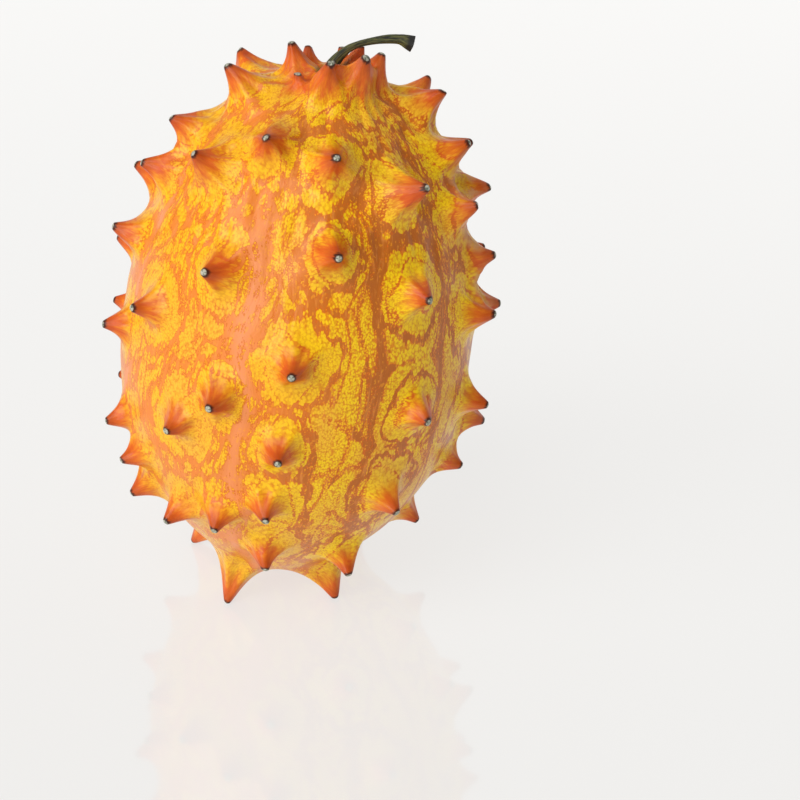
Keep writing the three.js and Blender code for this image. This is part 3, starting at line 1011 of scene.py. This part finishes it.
straight = read_points(stem.data)
up_stem = np.clip(straight[:, 2], 0, 1)
ring = np.rint(up_stem * STEM_RINGS).astype(int)
turn = np.arctan2(straight[:, 1], straight[:, 0])
from_middle = np.hypot(straight[:, 0], straight[:, 1])
girth = np.interp(up_stem, np.linspace(0, 1, len(STEM_RADII)), STEM_RADII)
rib = 1 - RIB_DEPTH * (1 + np.cos(RIBS * (turn + RIB_TWIST * up_stem))) / 2
knobs = 1 - KNOB_DEPTH * (1 + noise_at(straight * [KNOBS_ROUND, KNOBS_ROUND, KNOBS_ALONG], 1)) / 2
radius = girth * rib * knobs * from_middle
bent = line[ring] + (np.cos(turn) * radius)[:, None] * over[ring]
bent += (np.sin(turn) * radius)[:, None] * SIDEWAYS
hollow = HOLLOW_DEPTH * (1 - smooth(HOLLOW_FLOOR, HOLLOW_EDGE, from_middle)) * (up_stem > AT_CUT_END)
bent -= hollow[:, None] * ahead[ring]
bent[:, 2] += LENGTH
write_points(stem.data, stand(bend(bent), OFFSET) * MM)
bpy.ops.object.shade_smooth_by_angle(angle=math.radians(CREASE_ANGLE))
bark_place = np.stack([np.cos(turn), np.sin(turn), up_stem * BARK_LENGTH], axis=1)
write_attribute(stem.data, "lengthwise", bark_place)
write_attribute(stem.data, "share", up_stem)
print("bent stalk:", [round(v / MM, 1) for v in stem.dimensions])

# %% [markdown]
# ## The stalk's bark
#
# Dried stalk is olive brown and fibrous. Thin pale fibres run along the ribs, with greener blotches
# between them, the foot is still a greenish white where it met the fruit, and the cut end has gone
# nearly black. The same mottling gives the fibres, stretched along the stalk instead of along the
# fruit.

# %% The stalk's bark
FIBRE_DARK, FIBRE_PALE = srgb(24, 26, 12), srgb(94, 92, 46)
BLOTCH, FOOT_PALE, CUT_DARK = srgb(60, 67, 29), srgb(128, 135, 95), srgb(20, 18, 12)
END_RAGGED = 0.1
BARK_ROUGHNESS = 0.75
BARK_RELIEF, BARK_RELIEF_MM = 0.6, 0.2

bark = bpy.data.materials.new("dried_stalk")
bark.use_nodes = True
tree = bark.node_tree
lengthwise_in = attribute(tree, "lengthwise", "Vector")
fibre = mottle(tree, lengthwise_in, size=0.3, stretch=9, detail=3)
blotch = mottle(tree, lengthwise_in, size=1.2, stretch=2, detail=2)
ragged_share = maths(tree, "MULTIPLY_ADD", blotch, END_RAGGED, attribute(tree, "share"))
colour = lay_over(tree, FIBRE_DARK, FIBRE_PALE, fibre, edge=(-0.12, 0.14))
colour = lay_over(tree, colour, BLOTCH, blotch, edge=(0, 0.25))
colour = lay_over(tree, colour, FOOT_PALE, ragged_share, edge=(0.16, 0.03))
colour = lay_over(tree, colour, CUT_DARK, ragged_share, edge=(0.9, 0.96))
bump = add(tree, "ShaderNodeBump", {"Strength": BARK_RELIEF, "Distance": BARK_RELIEF_MM * MM,
                                    "Height": fibre})
shader = tree.nodes["Principled BSDF"]
tree.links.new(colour, shader.inputs["Base Color"])
tree.links.new(bump.outputs[0], shader.inputs["Normal"])
shader.inputs["Roughness"].default_value = BARK_ROUGHNESS

stem.data.materials.append(bark)
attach(stem, "root")
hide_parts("stem")
print("bark has", len(tree.nodes), "nodes")

# %% [markdown]
# ## The floor
#
# The fruit stands on a smooth white sheet that mirrors it faintly. The sheet is really a grey one
# that glows. A white one would take on the fruit's colour all round it, and the glow keeps it
# evenly pale out to its edge.

# %% The floor
SHEET_SIZE, SHEET_DROP = 6, 0.0002
SHEET_GREY, SHEET_GLOW, SHEET_GLOW_STRENGTH = srgb(104, 104, 103), srgb(255, 254, 252), 0.69
SHEET_ROUGHNESS, SHEET_IOR = 0.06, 1.8

bpy.ops.object.select_all(action="DESELECT")
bpy.ops.mesh.primitive_plane_add(size=SHEET_SIZE, location=(0, 0, -SHEET_DROP))
floor = bpy.context.object
floor.name = "floor"
sheet = bpy.data.materials.new("white_sheet")
sheet.use_nodes = True
shader = sheet.node_tree.nodes["Principled BSDF"]
shader.inputs["Base Color"].default_value = SHEET_GREY
shader.inputs["Roughness"].default_value = SHEET_ROUGHNESS
shader.inputs["IOR"].default_value = SHEET_IOR
shader.inputs["Emission Color"].default_value = SHEET_GLOW
shader.inputs["Emission Strength"].default_value = SHEET_GLOW_STRENGTH
floor.data.materials.append(sheet)
print("floor:", SHEET_SIZE, "m square")

# %% [markdown]
# ## The light
#
# Three soft lights stand on the left, so the right of the fruit falls into shade: the key at half
# height, one high up and one low down towards the front. They are suns with a wide angle, which
# soften shadows as a large studio lamp does. The rest is a pale room, brighter behind the fruit
# than in front of it, which lights up its edges.

# %% The light
LIGHTS = {  # strength, softness in degrees, and the place that the light comes from
    "key": (1.43, 35, (-0.77, -0.36, 0.53)),
    "high": (1.02, 35, (-0.27, -0.42, 0.87)),
    "low": (1.01, 26, (-0.54, -0.83, 0.14)),
}
ROOM_COLOUR = srgb(252, 252, 252)
BEHIND = (0.3, 0.95, 0)
ROOM_IN_FRONT, ROOM_BEHIND = (-0.1, 0.25), (0.9, 0.8)  # how far behind, and how bright there

for name, (strength, softness, place) in LIGHTS.items():
    lamp = bpy.data.lights.new(name, "SUN")
    lamp.energy = strength
    lamp.angle = math.radians(softness)
    holder = bpy.data.objects.new(name, lamp)
    holder.rotation_euler = Vector(place).to_track_quat("Z", "Y").to_euler()
    scene.collection.objects.link(holder)

world = bpy.data.worlds.new("pale_room")
scene.world = world
world.use_nodes = True
room = world.node_tree
facing = add(room, "ShaderNodeTexCoord").outputs["Generated"]
behind = add(room, "ShaderNodeVectorMath", {0: facing, 1: BEHIND}, operation="DOT_PRODUCT")
brightness = add(room, "ShaderNodeMapRange", {
    "Value": behind.outputs["Value"], "From Min": ROOM_IN_FRONT[0], "From Max": ROOM_BEHIND[0],
    "To Min": ROOM_IN_FRONT[1], "To Max": ROOM_BEHIND[1]})
backdrop = room.nodes["Background"]
backdrop.inputs["Color"].default_value = ROOM_COLOUR
room.links.new(brightness.outputs[0], backdrop.inputs["Strength"])
print(len(LIGHTS), "lights and a pale room")

# %% [markdown]
# ## The camera
#
# The camera looks down through a short telephoto lens, so that the fruit isn't distorted. Its
# place is in millimetres from the blossom end, and its three turns are in degrees.

# %% The camera
LENS_MM, SENSOR_MM = 84.03, 36
CAMERA_PLACE = np.array([6.6, -362.7, 282.0])
CAMERA_PITCH, CAMERA_YAW, CAMERA_ROLL = 33.19, 3.71, 0.76

camera_data = bpy.data.cameras.new("camera")
camera_data.lens = LENS_MM
camera_data.sensor_width = SENSOR_MM
camera = bpy.data.objects.new("camera", camera_data)
scene.collection.objects.link(camera)
aim = (Matrix.Rotation(-math.radians(CAMERA_YAW), 4, "Z")
       @ Matrix.Rotation(math.radians(90 - CAMERA_PITCH), 4, "X")
       @ Matrix.Rotation(math.radians(CAMERA_ROLL), 4, "Z"))
camera.matrix_world = Matrix.Translation((CAMERA_PLACE + [*OFFSET, 0]) * MM) @ aim
scene.camera = camera
scene.view_settings.view_transform = "Standard"
print("camera at", [round(v, 3) for v in camera.location])
